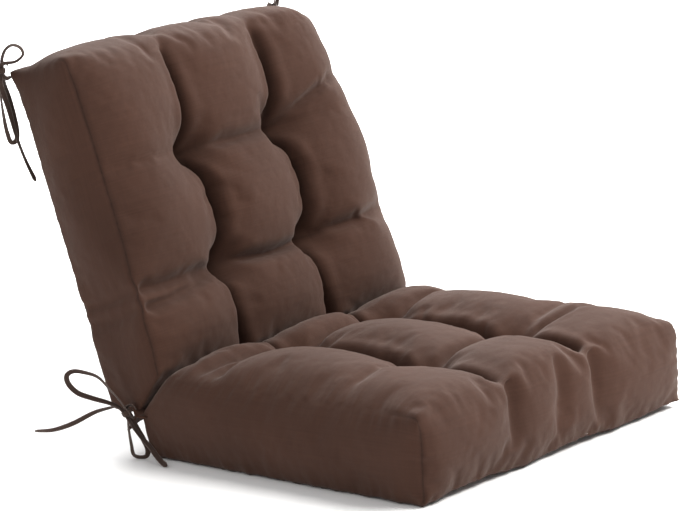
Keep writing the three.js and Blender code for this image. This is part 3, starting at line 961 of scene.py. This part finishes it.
def make_fill(name, pad, grid, whole, material):
    """The wadding: the cover's shape drawn in by a little more than the cloth's thickness."""
    mesh = whole.data
    place = get_vectors(mesh, "grid")
    kept = np.where(np.abs(place - place.round()).max(1) < 0.01)[0]
    number = {tuple(place[v].round().astype(int)): v for v in kept}
    order = [number[tuple(spot)] for spot in grid.index.tolist()]
    normals = mesh_normals(mesh)[order]
    along, fold = np.array(pad["along"]), np.array(FOLD)
    cover = BVHTree.FromObject(whole, bpy.context.evaluated_depsgraph_get())
    furrow = np.zeros(len(order))
    for line in crease_lines(pad):
        miss, _, inside = beside_line(grid.flat, line)
        furrow = np.maximum(furrow, inside * np.exp(-(miss / 0.016) ** 2))
    furrow *= grid.index[:, 2] == grid.nw
    points = (mesh_points(mesh)[order] - normals * WADDING_GAP
              - furrow[:, None] * 0.006 * np.array(pad["out"]))
    for _ in range(3):
        short = np.clip(0.030 - (points - fold) @ along, 0, None)
        points += 0.3 * short[:, None] * along
        for n, point in enumerate(points):
            near, normal, _, _ = cover.find_nearest(Vector(point))
            if (Vector(point) - near).dot(normal) > -0.6 * WADDING_GAP:
                points[n] = near - normal * WADDING_GAP
    return add_mesh(name, points, turned_faces(pad, grid), material)


def add_threads(name, lines, radius, material):
    """Round threads along several lines, as one piece."""
    points, faces, sides = [], [], 6
    for line in lines:
        line = [Vector(p) for p in line]
        first = len(points)
        for n, here in enumerate(line):
            ahead = (line[min(n + 1, len(line) - 1)] - line[max(n - 1, 0)]).normalized()
            up = (up - up.dot(ahead) * ahead if n else ahead.orthogonal()).normalized()
            over = ahead.cross(up)
            points += [here + radius * (math.cos(a) * up + math.sin(a) * over)
                       for a in np.arange(sides) * 2 * math.pi / sides]
        for n in range(len(line) - 1):
            for m in range(sides):
                a, b = first + n * sides + m, first + n * sides + (m + 1) % sides
                faces.append((a, b, b + sides, a + sides))
        faces.append(tuple(range(first, first + sides))[::-1])
        faces.append(tuple(range(len(points) - sides, len(points))))
    return add_mesh(name, points, faces, material)


def make_tufts(name, pad, whole, grid, tufts):
    """At each tuft a thread from face to face, drawn tight over a short bar of stitches."""
    points, place = mesh_points(whole.data), get_vectors(whole.data, "grid")
    names = [f"{name}_tuft_{row}_{side}" for side in ("left", "right") for row in pad["row_names"]]
    across, along = Vector((1, 0, 0)), pad["along"]
    for node, ends in zip(names, tufts):
        front, rear = (Vector(points[np.argmin(((place - grid.index[v]) ** 2).sum(1))]) for v in ends)
        lines = [[front, rear]]
        for end, out in ((front, pad["out"]), (rear, -pad["out"])):
            for step in (-1.5, -0.5, 0.5, 1.5):
                middle = end + out * 0.0012 + along * 0.0009 * step
                lines.append([middle + across * reach - out * 0.0016 * (abs(reach) > 0.003)
                              for reach in (-0.0042, -0.0030, 0, 0.0030, 0.0042)])
        piece = add_threads(f"{node}_thread", lines, 0.0005, THREAD)
        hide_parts(node)
        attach(piece, name)


def make_web():
    """The strip along the fold: a layer inside the end of each pad, and the seam allowance that
    hangs ruffled in the notch behind, longer at its ends, where the ties are sewn on."""
    seat, back = PADS["seat"], PADS["back"]
    inside = ([pad_to_world(seat, [(0, u, 0)])[0] for u in (0.016, 0.009, 0.003)] + [np.array(FOLD)]
              + [pad_to_world(back, [(0, u, 0)])[0] for u in (0.003, 0.009, 0.016)])
    notch = -np.array((seat["along"] + back["along"]).normalized())
    over = np.cross(notch, (1, 0, 0))
    columns, drops, middle = 150, 5, 3
    half = WIDTH / 2 + 0.006
    points, faces, places = [], [], []
    rows = len(inside) + drops
    for n in range(columns + 1):
        x = half * (2 * n / columns - 1)
        drop = 0.008 + 0.018 * math.exp(-((half - abs(x)) / 0.018) ** 2)
        for m, spot in enumerate(inside):
            points.append(spot + np.array([x, 0, 0]))
            places.append((x, m * 0.006, 0))
        for m in range(1, drops + 1):
            share = m / drops
            sway = 0.004 * share * noise.noise(Vector((x * 75, 0.4, 0.7)))
            points.append(inside[middle] + np.array([x, 0, 0]) + notch * drop * share + over * sway)
            places.append((x, 0.05 + drop * share, 0))
    for n in range(columns):
        for first, second in ([(m, m + 1) for m in range(len(inside) - 1)]
                              + [(middle, len(inside))]
                              + [(m, m + 1) for m in range(len(inside), rows - 1)]):
            a, b = n * rows + first, n * rows + second
            faces.append((a, a + rows, b + rows, b))
    piece = add_mesh("hinge_web_cloth", points, faces, COVER)
    set_vectors(piece.data, "cloth", places)
    set_floats(piece.data, "seam", np.zeros(len(points)))
    thicken = piece.modifiers.new("cloth", "SOLIDIFY")
    thicken.solidify_mode = "NON_MANIFOLD"
    thicken.thickness = 2 * FABRIC
    thicken.offset = 0
    applied(piece)
    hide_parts("hinge_web")
    bend_with_fold(piece)


def bend_with_fold(piece):
    """Bakes the piece's placement into its mesh."""
    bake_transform(piece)


def make_pad(name, pad):
    """One pad: its cover's four panels, its wadding and its tuft threads."""
    grid = PadGrid(pad)
    points, tufts = inflate(pad, grid, rests_on_floor=name == "seat")
    points = softened(pad, grid, pinched(pad, grid, points))
    whole = finish_seams(cover_mesh(f"{name}_cover", pad, grid, points), grid, pad["seed"],
                         lost=name == "seat")
    make_tufts(name, pad, whole, grid, tufts)
    fill = make_fill(f"{name}_wadding", pad, grid, whole, FILL)
    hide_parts(f"{name}_fill")
    bend_with_fold(fill)
    nodes = (*pad["panels"], f"{name}_left_band", f"{name}_right_band")
    for panel, node in enumerate(nodes):
        piece = split_panel(whole, f"{node}_cloth", panel, grid)
        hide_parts(node)
        bend_with_fold(piece)
    bpy.data.objects.remove(whole)


FILL = fibre_material("wadding")
THREAD = plain_material("thread", (0.045, 0.026, 0.021), 0.7)
for pad_name, pad_facts in PADS.items():
    make_pad(pad_name, pad_facts)
make_web()
